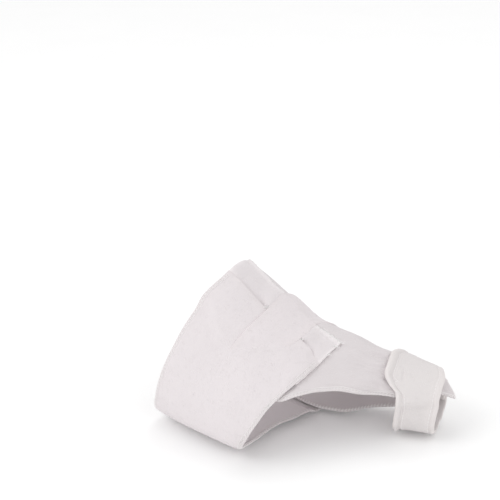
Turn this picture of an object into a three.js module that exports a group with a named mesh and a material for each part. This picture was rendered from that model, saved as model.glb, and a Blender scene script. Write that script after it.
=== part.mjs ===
// Bunion splint in white brushed cloth: a padded panel down the inner side, a wide band round
// the instep, a closing strap over the band's end and a narrow strap round the big toe.
// Millimetres, +X towards the toes, +Y towards the big toe, +Z up. The origin lies on the
// inner face of the band's sole, under the middle of the hollow that the cloth is wrapped round.
import * as THREE from "three";

// The hollow
const HOLLOW_LENGTH = 260;
const HOLLOW_BREADTH = 104;
const INSTEP_HEIGHT = 89;

// Cloth thicknesses, and the clearance between two layers
const PANEL_THICK = 2.5;
const BAND_THICK = 2.0;
const TAB_THICK = 1.2;
const STRAP_THICK = 1.6;
const TOE_STRAP_THICK = 2.0;
const LAYER_GAP = 0.4;
const STRAP_GAP = 0.6;

// Widths along the hollow, tucks and overlaps
const BAND_WIDTH = 66;
const TAB_TUCK = 15;
const TAB_INSET = 0.6;
const STRAP_WIDTH = 23;
const STRAP_ROOT_TAPER = 12;
const STRAP_ROOT_THICK = 0.7;
const TOE_STRAP_WIDTH = 33;
const TOE_STRAP_LAP = 9;
const TOE_STRAP_FLARE = 2.2;
const PANEL_BACK_INSET = 9;
const PANEL_TIP = 8;
const TIP_SLOPE = 0.28;
const TIP_BEND = 1;

// How a layer comes down past the edge of what lies under it
const EDGE_MARGIN = 3.0;
const BAND_RAMP = 10;
const STRAP_RAMP = 5;
const TOE_STRAP_RAMP = 5;
const EDGE_ROUND = 0.7;

// Places round the hollow in degrees: 0 is the inner side, 90 the top, 180 the outer side
const BAND_START = 15;
const STRAP_ROOT = 151;
const STRAP_END = -28;
const TOE_STRAP_START = -25;

// Cross-sections of the hollow. station is a share of HOLLOW_LENGTH, every Side a share of
// HOLLOW_BREADTH and every Height a share of INSTEP_HEIGHT. The last three columns are the
// fullness of the top outer, top inner and lower corners.
const SECTION_COLUMNS = [
  "station", "crestSide", "crestHeight", "outerSide", "outerHeight",
  "innerSide", "innerHeight", "soleSide", "fullOuter", "fullInner", "fullSole",
];
const SECTIONS = table(SECTION_COLUMNS, [
  [-0.192, 0.058, 1.000, -0.346, 0.191, 0.337, 0.404, 0.000, 1.9, 2.0, 3.2],
  [-0.115, 0.077, 0.927, -0.413, 0.169, 0.375, 0.371, 0.000, 1.9, 2.0, 3.4],
  [-0.038, 0.087, 0.860, -0.457, 0.157, 0.404, 0.337, 0.000, 1.9, 2.0, 3.6],
  [0.038, 0.106, 0.702, -0.490, 0.146, 0.433, 0.303, 0.000, 1.9, 1.9, 3.6],
  [0.115, 0.144, 0.545, -0.519, 0.146, 0.457, 0.270, 0.000, 1.9, 1.75, 3.4],
  [0.192, 0.212, 0.472, -0.519, 0.146, 0.471, 0.247, 0.038, 1.9, 1.85, 3.2],
  [0.250, 0.260, 0.410, -0.269, 0.169, 0.476, 0.236, 0.173, 2.0, 2.1, 2.8],
  [0.308, 0.288, 0.365, 0.058, 0.180, 0.471, 0.202, 0.260, 2.1, 2.2, 2.5],
  [0.396, 0.308, 0.320, 0.163, 0.169, 0.452, 0.169, 0.308, 2.1, 2.2, 2.4],
  [0.496, 0.317, 0.264, 0.212, 0.146, 0.423, 0.146, 0.317, 2.0, 2.0, 2.2],
]);

// Middle line and width of the instep band by turn: centre is a share of HOLLOW_LENGTH,
// width a share of BAND_WIDTH
const BAND_EDGES = table(["turn", "centre", "width"], [
  [-285, 0.075, 0.96],
  [-259, 0.076, 0.96],
  [-240, 0.068, 1.01],
  [-217, 0.056, 1.10],
  [-204, 0.044, 1.13],
  [-189, 0.020, 1.07],
  [-175, -0.001, 0.99],
  [-166, -0.013, 0.95],
  [-150, -0.015, 0.96],
  [-90, 0.000, 1.00],
  [-45, 0.023, 1.00],
  [15, 0.055, 1.00],
]);

// Turn of the band's slanting end, and of the hook tab's end past it, across the band
const END_EDGES = table(["across", "bandEnd", "tabEnd"], [
  [0.00, 98, 77],
  [0.11, 100.5, 80.5],
  [0.38, 106, 79.5],
  [0.55, 111, 82],
  [0.77, 120, 90],
  [0.87, 127, 95],
  [0.95, 135, 100.5],
  [1.00, 140, 105],
]);

// Middle line of the closing strap by turn, a share of HOLLOW_LENGTH
const STRAP_LINE = table(["turn", "centre"], [
  [-30, 0.098],
  [30, 0.090],
  [76, 0.086],
  [110, 0.092],
  [138, 0.083],
  [152, 0.077],
]);

// Front edge of the toe strap by turn, a share of HOLLOW_LENGTH, and its width, a share of
// TOE_STRAP_WIDTH
const TOE_STRAP_EDGES = table(["turn", "front", "width"], [
  [-30, 0.388, 0.80],
  [20, 0.386, 0.80],
  [55, 0.393, 0.86],
  [80, 0.409, 0.97],
  [100, 0.418, 0.995],
  [116, 0.421, 0.98],
  [133, 0.424, 0.98],
  [147, 0.426, 0.85],
  [156, 0.427, 0.71],
  [185, 0.424, 0.66],
  [240, 0.414, 0.70],
  [300, 0.398, 0.76],
  [340, 0.389, 0.80],
  [390, 0.386, 0.80],
]);

// Upper and lower edges of the inner-side panel in degrees by station
const PANEL_EDGES = table(["station", "lower", "upper"], [
  [-0.046, -42, 114],
  [0.000, -48, 128],
  [0.085, -52, 151],
  [0.150, -54, 163],
  [0.174, -54, 163.4],
  [0.200, -54, 160.3],
  [0.223, -54, 158.5],
  [0.250, -53, 158.3],
  [0.290, -52, 161],
  [0.335, -50, 160.4],
  [0.390, -48, 152],
  [0.425, -46, 140],
  [0.460, -44, 130],
]);

// Reach of the panel's rounded front end past the toe strap, a share of PANEL_TIP
const PANEL_FRONT = table(["across", "reach"], [
  [0.00, -1.30],
  [0.24, -1.30],
  [0.38, -1.00],
  [0.48, -0.40],
  [0.56, 0.12],
  [0.63, 0.55],
  [0.70, 0.90],
  [0.755, 1.03],
  [0.80, 0.85],
  [0.84, 0.50],
  [0.89, 0.05],
  [0.94, -0.40],
  [1.00, -0.90],
]);

// Soft hollows and swells of the worn cloth: depth is a share of PANEL_THICK, inwards when
// below zero, and long is a share of HOLLOW_LENGTH
const DENTS = table(["station", "turn", "depth", "long", "wide"], [
  [0.020, 146, -0.30, 0.055, 22],
  [0.098, 152, 0.30, 0.055, 22],
  [0.262, 128, -0.35, 0.022, 14],
  [0.222, 112, 0.22, 0.030, 20],
  [0.102, 55, -0.75, 0.030, 25],
  [0.243, 48, -1.00, 0.034, 28],
]);

function table(columns, rows) {
  return rows.map((row) => Object.fromEntries(columns.map((name, index) => [name, row[index]])));
}

// Smooth curve through one column of a table, with no overshoot between its rows
function read(rows, key, column, at) {
  const last = rows.length - 2;
  let cell = rows.findIndex((row, index) => index <= last && at < rows[index + 1][key]);
  cell = cell < 0 ? last : cell;
  const slope = (index) => {
    const run = rows[index + 1][key] - rows[index][key];
    return (rows[index + 1][column] - rows[index][column]) / run;
  };
  const tangent = (index) => {
    const before = slope(Math.max(index - 1, 0));
    const after = slope(Math.min(index, last));
    return before * after > 0 ? (2 * before * after) / (before + after) : 0;
  };
  const run = rows[cell + 1][key] - rows[cell][key];
  const t = Math.min(Math.max((at - rows[cell][key]) / run, 0), 1);
  const rise = t * t * (3 - 2 * t);
  const start = rows[cell][column];
  const end = rows[cell + 1][column];
  const bend = tangent(cell) * t * (1 - t) ** 2 - tangent(cell + 1) * t * t * (1 - t);
  return start + (end - start) * rise + bend * run;
}

function mix(from, to, share) {
  return from + (to - from) * share;
}

function smooth(share) {
  return THREE.MathUtils.smoothstep(share, 0, 1);
}

function inTurn(turn) {
  return THREE.MathUtils.euclideanModulo(turn + 180, 360) - 180;
}

// Point on the hollow's surface at a station in millimetres and a turn in degrees
function hollowPoint(x, turn) {
  const station = x / HOLLOW_LENGTH;
  const size = (column, unit) => read(SECTIONS, "station", column, station) * unit;
  const angle = THREE.MathUtils.degToRad(turn);
  const top = Math.sin(angle) >= 0;
  const inner = Math.cos(angle) >= 0;
  const middle = size(top ? "crestSide" : "soleSide", HOLLOW_BREADTH);
  const side = size(inner ? "innerSide" : "outerSide", HOLLOW_BREADTH);
  const height = size(inner ? "innerHeight" : "outerHeight", INSTEP_HEIGHT);
  const rise = top ? size("crestHeight", INSTEP_HEIGHT) - height : height;
  const topFullness = inner ? "fullInner" : "fullOuter";
  const fullness = size(top ? topFullness : "fullSole", 1);
  const across = (Math.abs(Math.cos(angle)) / Math.abs(side - middle)) ** fullness;
  const upwards = (Math.abs(Math.sin(angle)) / rise) ** fullness;
  const reach = (across + upwards) ** (-1 / fullness);
  return new THREE.Vector3(x, middle + reach * Math.cos(angle), height + reach * Math.sin(angle));
}

function dentAt(x, turn) {
  let depth = 0;
  for (const dent of DENTS) {
    const alongShare = (x / HOLLOW_LENGTH - dent.station) / dent.long;
    const roundShare = inTurn(turn - dent.turn) / dent.wide;
    depth += dent.depth * PANEL_THICK * Math.exp(-(alongShare ** 2 + roundShare ** 2));
  }
  return depth;
}

// Point of a cloth face that lies at the given distance off the hollow
function clothPoint(x, turn, distance) {
  const step = 0.5;
  const along = hollowPoint(x + step, turn).sub(hollowPoint(x - step, turn));
  const round = hollowPoint(x, turn + step).sub(hollowPoint(x, turn - step));
  const outwards = round.cross(along).normalize();
  return hollowPoint(x, turn).addScaledVector(outwards, distance + dentAt(x, turn));
}

// Turns that split the stretch between two turns into equal lengths of cloth
function evenTurns(x, from, to, count) {
  const fine = 8 * count;
  const lengths = [0];
  for (let index = 1; index <= fine; index += 1) {
    const before = hollowPoint(x, mix(from, to, (index - 1) / fine));
    const after = hollowPoint(x, mix(from, to, index / fine));
    lengths.push(lengths[index - 1] + before.distanceTo(after));
  }
  const shares = [];
  let next = 1;
  for (let index = 0; index <= count; index += 1) {
    const wanted = (lengths[fine] * index) / count;
    while (next < fine && lengths[next] < wanted) next += 1;
    const part = (wanted - lengths[next - 1]) / (lengths[next] - lengths[next - 1]);
    shares.push((next - 1 + Math.min(part, 1)) / fine);
  }
  return shares;
}

// Degrees of turn that a length of cloth takes up round the instep or round the toe
function instepTurn(length) {
  return THREE.MathUtils.radToDeg(length / (HOLLOW_BREADTH / 2));
}

function toeTurn(length) {
  return THREE.MathUtils.radToDeg(length / (HOLLOW_BREADTH / 7));
}

// 1 over a covered stretch, easing to 0 over the ramp once past it by the margin
function cover(past, ramp) {
  return 1 - smooth((past - EDGE_MARGIN) / ramp);
}

// A closed cloth piece. place gives x and turn at the shares u round and v across, inner its
// distance off the hollow and thick its thickness. The rim is rounded by one middle loop.
function clothPiece(shares, rows, widthRound, widthAcross, place, inner, thick) {
  const columns = shares.length - 1;
  const inset = (share, width) => mix(EDGE_ROUND / width, 1 - EDGE_ROUND / width, share);
  const positions = [];
  const add = (u, v, level) => {
    const spot = place(u, v);
    const distance = inner(spot.x, spot.turn, u, v) + level * thick(spot.x, spot.turn, u, v);
    positions.push(...clothPoint(spot.x, spot.turn, distance).toArray());
  };
  for (const level of [0, 1]) {
    for (let i = 0; i <= columns; i += 1) {
      for (let j = 0; j <= rows; j += 1) {
        add(inset(shares[i], widthRound), inset(j / rows, widthAcross), level);
      }
    }
  }
  const node = (level, i, j) => level * (columns + 1) * (rows + 1) + i * (rows + 1) + j;
  const faces = [];
  const quad = (a, b, c, d) => faces.push(a, b, c, a, c, d);
  for (let i = 0; i < columns; i += 1) {
    for (let j = 0; j < rows; j += 1) {
      quad(node(1, i, j), node(1, i + 1, j), node(1, i + 1, j + 1), node(1, i, j + 1));
      quad(node(0, i, j), node(0, i, j + 1), node(0, i + 1, j + 1), node(0, i + 1, j));
    }
  }
  const rim = [];
  for (let i = 0; i < columns; i += 1) rim.push([i, 0]);
  for (let j = 0; j < rows; j += 1) rim.push([columns, j]);
  for (let i = columns; i > 0; i -= 1) rim.push([i, rows]);
  for (let j = rows; j > 0; j -= 1) rim.push([0, j]);
  const firstRim = positions.length / 3;
  for (const [i, j] of rim) {
    const u = i % columns ? inset(shares[i], widthRound) : i / columns;
    const v = j % rows ? inset(j / rows, widthAcross) : j / rows;
    add(u, v, 0.5);
  }
  rim.forEach(([i, j], index) => {
    const next = (index + 1) % rim.length;
    const [k, l] = rim[next];
    quad(node(1, i, j), firstRim + index, firstRim + next, node(1, k, l));
    quad(firstRim + index, node(0, i, j), node(0, k, l), firstRim + next);
  });
  return closedGeometry(positions, faces);
}

// Turns the faces outwards where the grid ran the other way round
function closedGeometry(positions, faces) {
  const corner = (index) => new THREE.Vector3().fromArray(positions, 3 * index);
  let volume = 0;
  for (let face = 0; face < faces.length; face += 3) {
    const [a, b, c] = [corner(faces[face]), corner(faces[face + 1]), corner(faces[face + 2])];
    volume += a.dot(b.cross(c));
  }
  const geometry = new THREE.BufferGeometry();
  geometry.setAttribute("position", new THREE.Float32BufferAttribute(positions, 3));
  geometry.setIndex(volume < 0 ? faces.reverse() : faces);
  geometry.computeVertexNormals();
  return geometry;
}

// Edges of the instep band at a turn
function bandEdge(turn, across) {
  const centre = read(BAND_EDGES, "turn", "centre", turn) * HOLLOW_LENGTH;
  const width = read(BAND_EDGES, "turn", "width", turn) * BAND_WIDTH;
  return centre + (across - 0.5) * width;
}

function bandAcross(x, turn) {
  const low = bandEdge(turn, 0);
  return (x - low) / (bandEdge(turn, 1) - low);
}

// Degrees by which a turn lies outside the panel's two edges, below zero between them
function pastPanelEdges(x, turn) {
  const lower = read(PANEL_EDGES, "station", "lower", x / HOLLOW_LENGTH);
  const upper = read(PANEL_EDGES, "station", "upper", x / HOLLOW_LENGTH);
  return Math.abs(inTurn(turn - (lower + upper) / 2)) - (upper - lower) / 2;
}

// Millimetres by which a place lies outside the panel
function pastPanel(x, turn) {
  return Math.max(pastPanelEdges(x, turn) / instepTurn(1), panelBack() - x);
}

function panelBack() {
  return bandEdge(0, 0) + PANEL_BACK_INSET;
}

// Distances off the hollow at which each layer's inner face lies
const overPanel = PANEL_THICK + LAYER_GAP;
const overTab = overPanel + TAB_THICK + LAYER_GAP;

function bandInner(x, turn) {
  const panelLift = overPanel * cover(pastPanel(x, turn), BAND_RAMP);
  const top = turn < -180 ? turn + 360 : turn;
  const across = bandAcross(x, top - 360);
  const tabEdge = read(END_EDGES, "across", "bandEnd", across) + instepTurn(TAB_TUCK);
  const pastTab = turn < -180 ? (top - tabEdge) / instepTurn(1) : Infinity;
  return panelLift + (overTab - overPanel) * cover(pastTab, BAND_RAMP);
}

function strapInner(x, turn) {
  const across = bandAcross(x, turn - 360);
  const bandEnd = read(END_EDGES, "across", "bandEnd", across);
  const tabEnd = read(END_EDGES, "across", "tabEnd", across);
  const overEnd = overTab + BAND_THICK + STRAP_GAP;
  const overStart = overPanel + BAND_THICK + STRAP_GAP;
  const pastTab = cover((tabEnd - turn) / instepTurn(1), STRAP_RAMP);
  const pastBand = cover((bandEnd - turn) / instepTurn(1), STRAP_RAMP);
  const onEnd = mix(mix(overPanel, overTab, pastTab), overEnd, pastBand);
  const onStart = overStart * cover((turn - BAND_START) / instepTurn(1), BAND_RAMP);
  const onBand = bandInner(x, turn - 360) + BAND_THICK + STRAP_GAP;
  const wellOnBand = smooth((turn - bandEnd) / instepTurn(STRAP_RAMP));
  return mix(Math.max(onEnd, onStart), onBand, wellOnBand);
}

function toeStrapInner(x, turn, u, v) {
  const lift = overPanel * cover(pastPanelEdges(x, turn) / toeTurn(1), TOE_STRAP_RAMP);
  const lapStart = TOE_STRAP_START + 360 - toeTurn(EDGE_MARGIN + TOE_STRAP_RAMP);
  const lap = smooth((turn - lapStart) / toeTurn(TOE_STRAP_RAMP));
  const onTop = Math.max(Math.cos(THREE.MathUtils.degToRad(turn - 125)), 0) ** 2;
  const flare = TOE_STRAP_FLARE * (0.15 + 0.85 * onTop) * (1 - smooth(v / 0.35)) ** 2;
  return lift + lap * (TOE_STRAP_THICK + LAYER_GAP) + flare;
}

// How far the panel's front end sinks in, on a slope that starts under the toe strap
function tipSink(x, toeFront) {
  const past = Math.max(x - toeFront + PANEL_TIP, 0);
  return TIP_SLOPE * (Math.hypot(past, TIP_BEND) - TIP_BEND);
}

function splintPanel() {
  const columns = 32;
  const rows = 26;
  const back = panelBack();
  const toeFront = read(TOE_STRAP_EDGES, "turn", "front", 90) * HOLLOW_LENGTH;
  const front = (u) => toeFront + read(PANEL_FRONT, "across", "reach", u) * PANEL_TIP;
  const place = (u, v) => {
    const x = mix(back, front(u), v);
    const lower = read(PANEL_EDGES, "station", "lower", x / HOLLOW_LENGTH);
    const upper = read(PANEL_EDGES, "station", "upper", x / HOLLOW_LENGTH);
    return { x, turn: mix(lower, upper, u) };
  };
  const shares = evenTurns(mix(back, toeFront, 0.4), -50, 160, columns);
  const girth = 1.6 * HOLLOW_BREADTH;
  const inner = (x) => -tipSink(x, toeFront);
  return clothPiece(shares, rows, girth, toeFront - back, place, inner, () => PANEL_THICK);
}

function instepBand() {
  const columns = 76;
  const rows = 12;
  const place = (u, v) => {
    const turn = mix(BAND_START, read(END_EDGES, "across", "bandEnd", v) - 360, u);
    return { x: bandEdge(turn, v), turn };
  };
  const shares = evenTurns(0, BAND_START, -240, columns);
  const girth = 2.6 * HOLLOW_BREADTH;
  return clothPiece(shares, rows, girth, BAND_WIDTH, place, bandInner, () => BAND_THICK);
}

function hookTab() {
  const columns = 10;
  const rows = 12;
  const place = (u, v) => {
    const across = mix(TAB_INSET / BAND_WIDTH, 1 - TAB_INSET / BAND_WIDTH, v);
    const tucked = read(END_EDGES, "across", "bandEnd", across) + instepTurn(TAB_TUCK);
    const turn = mix(tucked, read(END_EDGES, "across", "tabEnd", across), u);
    return { x: bandEdge(turn - 360, across), turn };
  };
  const shares = Array.from({ length: columns + 1 }, (_, index) => index / columns);
  const inner = (x, turn) => overPanel * cover(pastPanel(x, turn), BAND_RAMP);
  return clothPiece(shares, rows, 2 * TAB_TUCK, BAND_WIDTH, place, inner, () => TAB_THICK);
}

function closingStrap() {
  const columns = 42;
  const rows = 6;
  const girth = 1.4 * HOLLOW_BREADTH;
  const place = (u, v) => {
    const turn = mix(STRAP_ROOT, STRAP_END, u);
    const centre = read(STRAP_LINE, "turn", "centre", turn) * HOLLOW_LENGTH;
    return { x: centre + (v - 0.5) * STRAP_WIDTH, turn };
  };
  const thick = (x, turn, u) => {
    return mix(STRAP_ROOT_THICK, STRAP_THICK, smooth((u * girth) / STRAP_ROOT_TAPER));
  };
  const shares = evenTurns(0.1 * HOLLOW_LENGTH, STRAP_ROOT, STRAP_END, columns);
  return clothPiece(shares, rows, girth, STRAP_WIDTH, place, strapInner, thick);
}

function toeStrap() {
  const columns = 52;
  const rows = 6;
  const end = TOE_STRAP_START + 360 + toeTurn(TOE_STRAP_LAP);
  const place = (u, v) => {
    const turn = mix(TOE_STRAP_START, end, u);
    const front = read(TOE_STRAP_EDGES, "turn", "front", turn) * HOLLOW_LENGTH;
    const width = read(TOE_STRAP_EDGES, "turn", "width", turn) * TOE_STRAP_WIDTH;
    return { x: front - (1 - v) * width, turn };
  };
  const middle = read(TOE_STRAP_EDGES, "turn", "front", 90) * HOLLOW_LENGTH - TOE_STRAP_WIDTH / 2;
  const shares = evenTurns(middle, TOE_STRAP_START, end, columns);
  const girth = 1.1 * HOLLOW_BREADTH;
  return clothPiece(
    shares, rows, girth, TOE_STRAP_WIDTH, place, toeStrapInner, () => TOE_STRAP_THICK,
  );
}

function cloth(name, geometry, color, roughness) {
  const material = new THREE.MeshStandardMaterial({ color, roughness, metalness: 0 });
  const mesh = new THREE.Mesh(geometry, material);
  mesh.name = name;
  return mesh;
}

const splint = new THREE.Group();
splint.add(cloth("splint_panel", splintPanel(), "#dedad8", 0.93));
splint.add(cloth("instep_wrap", instepBand(), "#e9e6e5", 0.93));
splint.add(cloth("hook_tab", hookTab(), "#e3dfdf", 0.9));
splint.add(cloth("closure_strap", closingStrap(), "#e5e0e1", 0.93));
splint.add(cloth("toe_strap", toeStrap(), "#e0dcdb", 0.93));

export default splint;
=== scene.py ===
# White cloth bunion splint in its worn form: brushed cloth pieces with rounded rims, hems,
# overlocked edges, puckers and creases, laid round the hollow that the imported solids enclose.
import math

import bmesh
import bpy
import numpy as np
from mathutils import Matrix, Vector


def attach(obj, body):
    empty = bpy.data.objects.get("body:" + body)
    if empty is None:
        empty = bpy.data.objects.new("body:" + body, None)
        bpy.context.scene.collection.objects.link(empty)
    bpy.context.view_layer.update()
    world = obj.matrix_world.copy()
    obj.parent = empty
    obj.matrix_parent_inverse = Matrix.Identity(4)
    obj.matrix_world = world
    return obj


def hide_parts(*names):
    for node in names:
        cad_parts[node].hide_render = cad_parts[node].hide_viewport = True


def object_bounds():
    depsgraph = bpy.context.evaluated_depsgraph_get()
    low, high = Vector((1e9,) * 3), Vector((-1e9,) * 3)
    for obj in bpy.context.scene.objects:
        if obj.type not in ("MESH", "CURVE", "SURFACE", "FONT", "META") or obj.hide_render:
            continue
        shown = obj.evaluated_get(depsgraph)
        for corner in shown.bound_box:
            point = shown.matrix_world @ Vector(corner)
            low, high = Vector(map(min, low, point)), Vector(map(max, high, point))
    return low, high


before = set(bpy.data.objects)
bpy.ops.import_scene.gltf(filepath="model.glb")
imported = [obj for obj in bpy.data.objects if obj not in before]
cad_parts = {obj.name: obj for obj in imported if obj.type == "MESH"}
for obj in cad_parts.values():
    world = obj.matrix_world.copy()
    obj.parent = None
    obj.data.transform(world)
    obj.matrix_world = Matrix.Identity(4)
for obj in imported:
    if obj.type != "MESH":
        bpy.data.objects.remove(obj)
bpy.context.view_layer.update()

MM = 0.001

# The hollow, in millimetres
HOLLOW_LENGTH = 260
HOLLOW_BREADTH = 104
INSTEP_HEIGHT = 89

# Cloth thicknesses and the clearance between two layers
PANEL_THICK = 2.5
BAND_THICK = 2.0
TAB_THICK = 1.2
STRAP_THICK = 1.3
TOE_STRAP_THICK = 2.0
LAYER_GAP = 0.1
STRAP_GAP = 0.15

# Widths along the hollow, tucks and overlaps
BAND_WIDTH = 66
TAB_TUCK = 15
TAB_REACH = 2.6
STRAP_WIDTH = 23
STRAP_ROOT_TAPER = 28
STRAP_ROOT_THICK = 0.6
STRAP_PROUD = 1.0
STRAP_FRONT_PROUD = 0.22
STRAP_SEWN_IN = 0.3
TOE_STRAP_WIDTH = 33
TOE_STRAP_LAP = 9
TOE_STRAP_FLARE = 2.2
PANEL_BACK_INSET = 9
PANEL_TIP = 8
TIP_SLOPE = 0.42
TIP_BEND = 1

# Round corners of the band's start and the closing strap's end: radii and fullness
BAND_CORNER = 8
STRAP_CORNER = 5
CORNER_FULLNESS = 2.2

# How far past its root the closing strap starts to rise and has risen, at its back edge and
# at its front edge
STRAP_ONSET = (6, 12)
STRAP_RISEN = (17, STRAP_ROOT_TAPER)

# Flare of the toe strap's back edge: turn of its highest place, share of it all round, and
# share of the strap's width that it takes
FLARE_TURN = 125
FLARE_LEAST = 0.15
FLARE_REACH = 0.35

# Radii of the hollow at the instep and at the toe strap, which give a length's turn
INSTEP_RADIUS = HOLLOW_BREADTH / 2
TOE_RADIUS = HOLLOW_BREADTH / 7

# How a layer comes down past the edge of what lies under it
EDGE_MARGIN = 1.0
BAND_RAMP = 9
STRAP_RAMP = 4
STRAP_STEP_RAMP = 26
TOE_STRAP_RAMP = 5

# Places round the hollow in degrees: 0 is the inner side, 90 the top, 180 the outer side
BAND_START = 15
STRAP_ROOT = 151
STRAP_END = -28
TOE_STRAP_START = -25

# Stitches squeeze a cloth edge over this width to this share of its thickness
EDGE_PRESS = 3.4
EDGE_THIN = 0.62

# Cloth lengths round the hollow and across, which place the hems, lips and squeezed edges
PANEL_GIRTH = 150
PANEL_LENGTH = 128
BAND_GIRTH = 235
BAND_BREADTH = 68
TAB_LENGTH = 34
TOE_STRAP_BREADTH = 32

# Nominal girth and width of each cloth, for the spacing of its mesh and its knit
PANEL_SHEET = (160, 128)
BAND_SHEET = (240, 70)
TAB_SHEET = (34, 66)
STRAP_SHEET = (160, 24)
TOE_STRAP_SHEET = (122, 31)

# Columns round and rows across in each cloth's mesh
PANEL_GRID = (190, 150)
BAND_GRID = (290, 90)
TAB_GRID = (50, 110)
STRAP_GRID = (200, 44)
TOE_STRAP_GRID = (160, 64)

# Distance that the rims' colour fades over; where the rims are paler this is partly painted
# highlight
RIM_REACH = 2.5

# Columns and rows beside a rim, in half thicknesses from it
RIM_STEPS = [0, 0.06, 0.2, 0.45, 0.8, 1.2]

# Thread, stitches and nap
THREAD_RADIUS = 0.17
OVERLOCK_PITCH = 1.9
OVERLOCK_BITE = 2.6
HEM_PITCH = 2.0
FIBRE_RADIUS = 0.028
FRINGE_RADIUS = FIBRE_RADIUS * 1.8
TUFT_RADIUS = FIBRE_RADIUS * 2
TUFT_SPREAD = 0.8
TUFT_LENGTHS = (0.5, 1.7)
NEEDLE_SUNK = 0.12
STITCH_SUNK = 0.25
TOE_ROLL_STITCH = 5.1
TOE_HEM_STITCH = 3.6

# The panel's upper hem rises over this stretch along the hollow
HEM_FADE_START = 46
HEM_FADE = 25

# Rolls and grooves beside an edge: height, place and reach in millimetres from that edge
PANEL_HEM = [(0.60, 1.5, 2.0), (-0.40, 3.9, 1.3)]
TOE_STRAP_ROLL = [(0.58, 2.2, 2.8), (-0.50, TOE_ROLL_STITCH, 1.4)]
TOE_STRAP_HEM = [(0.28, 1.6, 1.8), (-0.40, TOE_HEM_STITCH, 1.1)]
TAB_WELT = [(0.65, 1.9, 2.2)]
TAB_GROOVE = [(-0.38, 4.7, 1.3)]

# Slow waves of the worn cloth: height and length in millimetres, and a seed
PANEL_SWELLS = [(0.20, 26, 3), (0.07, 7, 9)]
BAND_SWELLS = [(0.24, 46, 1), (0.07, 17, 2), (0.02, 5, 8)]
TAB_SWELLS = [(0.10, 9, 5)]
STRAP_SWELLS = [(0.16, 21, 7), (0.07, 8, 4)]
TOE_STRAP_SWELLS = [(0.20, 12, 6), (0.06, 5, 2)]

# Share of the turn that the toe strap's waves are wound by, for its smaller loop
TOE_SWELL_TURN = 0.4

# Heights of the smaller forms, below zero where they sink in
SEAM_WAVE = 0.12  # panel, along the upper hem
DRAG = 0.14  # panel, slanting lines before the band
END_LIP = 0.22  # band, along its slanting end
ROOT_TICK = -0.50  # band, behind the closing strap's root
ROOT_TICK_TURN = 138
TENSION = 0.22  # band, fanning out from that root
TENSION_TURN = 156
TAB_RAISED = 0.9  # tab, where the band's corners lie flat
SHADOW_LINE = -0.45  # tab, along the band's end
STRAP_CROWN = 0.20  # closing strap, along its middle
STRAP_RAISED = 0.30  # closing strap, its edges where they cross the band's end
STRAP_RAISED_TURN = 118

# Puckers and wider creases of the panel beside the toe strap: height, waves per radian, phase,
# and drift along the hollow; how far before the strap and over what reach they show
PUCKERS = [(0.34, 26, 0, 0.16), (0.30, 11, 1.1, 0.05)]
PUCKER_PLACE = 4
PUCKER_REACH = 15

# The toe strap's long fold and the one that leaves it: height, middle turn, reach, the turn it
# starts from, its run in degrees, and the shares across that it runs between
TOE_FOLDS = [(-0.60, 124, 22, 110, 26, 0.30, 0.34), (-0.35, 122, 13, 112, 20, 0.32, 0.58)]
TOE_FOLD_WIDTH = 0.04

# How covered cloth gives way
PANEL_SUNK = 0.12  # the panel under the band and the toe strap
TAB_SUNK = 0.06  # the tab under the band and the closing strap
UNDER_STRAP = 0.08  # the band below the closing strap's inner face
BESIDE_STRAP = 0.05  # cloth below the strap's outer face, beside the strap
SWELL_LIMIT = 2.2  # the most that the panel swells there
FLAT_LOSS = 0.78  # share of its thickness that the band loses at its flat corners

# Ragged end of the tab: height in degrees, waves across and phase
RAGGED = [(0.26, 310, 0), (0.20, 743, 1), (0.25, 57, 0)]

# Shares across the band between which its slanting end stands out, and how fast that fades
END_SHOWN = (0.06, 0.935)
END_FADE = 0.07

# Stations and turns that the cloth's columns are spaced evenly along
PANEL_MIDDLE = 0.4
PANEL_SPAN = (-50, 160)
BAND_SPAN = (BAND_START, -240)
STRAP_STATION = 0.1

# Shares between which overlocked edges, hems and the points of threads stay
ALL_ALONG = (0.004, 0.996)
HEM_SPAN = (0.01, 0.99)
ON_CLOTH = (0.001, 0.999)


def table(columns, rows):
    return {name: np.array([row[k] for row in rows], float) for k, name in enumerate(columns)}


# station is a share of HOLLOW_LENGTH, every side a share of HOLLOW_BREADTH and every height a
# share of INSTEP_HEIGHT; full_ columns are the fullness of the corners
SECTIONS = table(
    ["station", "crest_side", "crest_height", "outer_side", "outer_height",
     "inner_side", "inner_height", "sole_side", "full_outer", "full_inner", "full_sole"],
    [
        [-0.192, 0.058, 1.000, -0.346, 0.191, 0.337, 0.404, 0.000, 1.9, 2.0, 3.2],
        [-0.115, 0.077, 0.927, -0.413, 0.169, 0.375, 0.371, 0.000, 1.9, 2.0, 3.4],
        [-0.038, 0.087, 0.860, -0.457, 0.157, 0.404, 0.337, 0.000, 1.9, 2.0, 3.6],
        [0.038, 0.106, 0.702, -0.490, 0.146, 0.433, 0.303, 0.000, 1.9, 1.9, 3.6],
        [0.115, 0.144, 0.545, -0.519, 0.146, 0.457, 0.270, 0.000, 1.9, 1.75, 3.4],
        [0.192, 0.212, 0.472, -0.519, 0.146, 0.471, 0.247, 0.038, 1.9, 1.85, 3.2],
        [0.250, 0.260, 0.410, -0.269, 0.169, 0.476, 0.236, 0.173, 2.0, 2.1, 2.8],
        [0.308, 0.288, 0.365, 0.058, 0.180, 0.471, 0.202, 0.260, 2.1, 2.2, 2.5],
        [0.396, 0.308, 0.320, 0.163, 0.169, 0.452, 0.169, 0.308, 2.1, 2.2, 2.4],
        [0.496, 0.317, 0.264, 0.212, 0.146, 0.423, 0.146, 0.317, 2.0, 2.0, 2.2],
    ],
)

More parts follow.
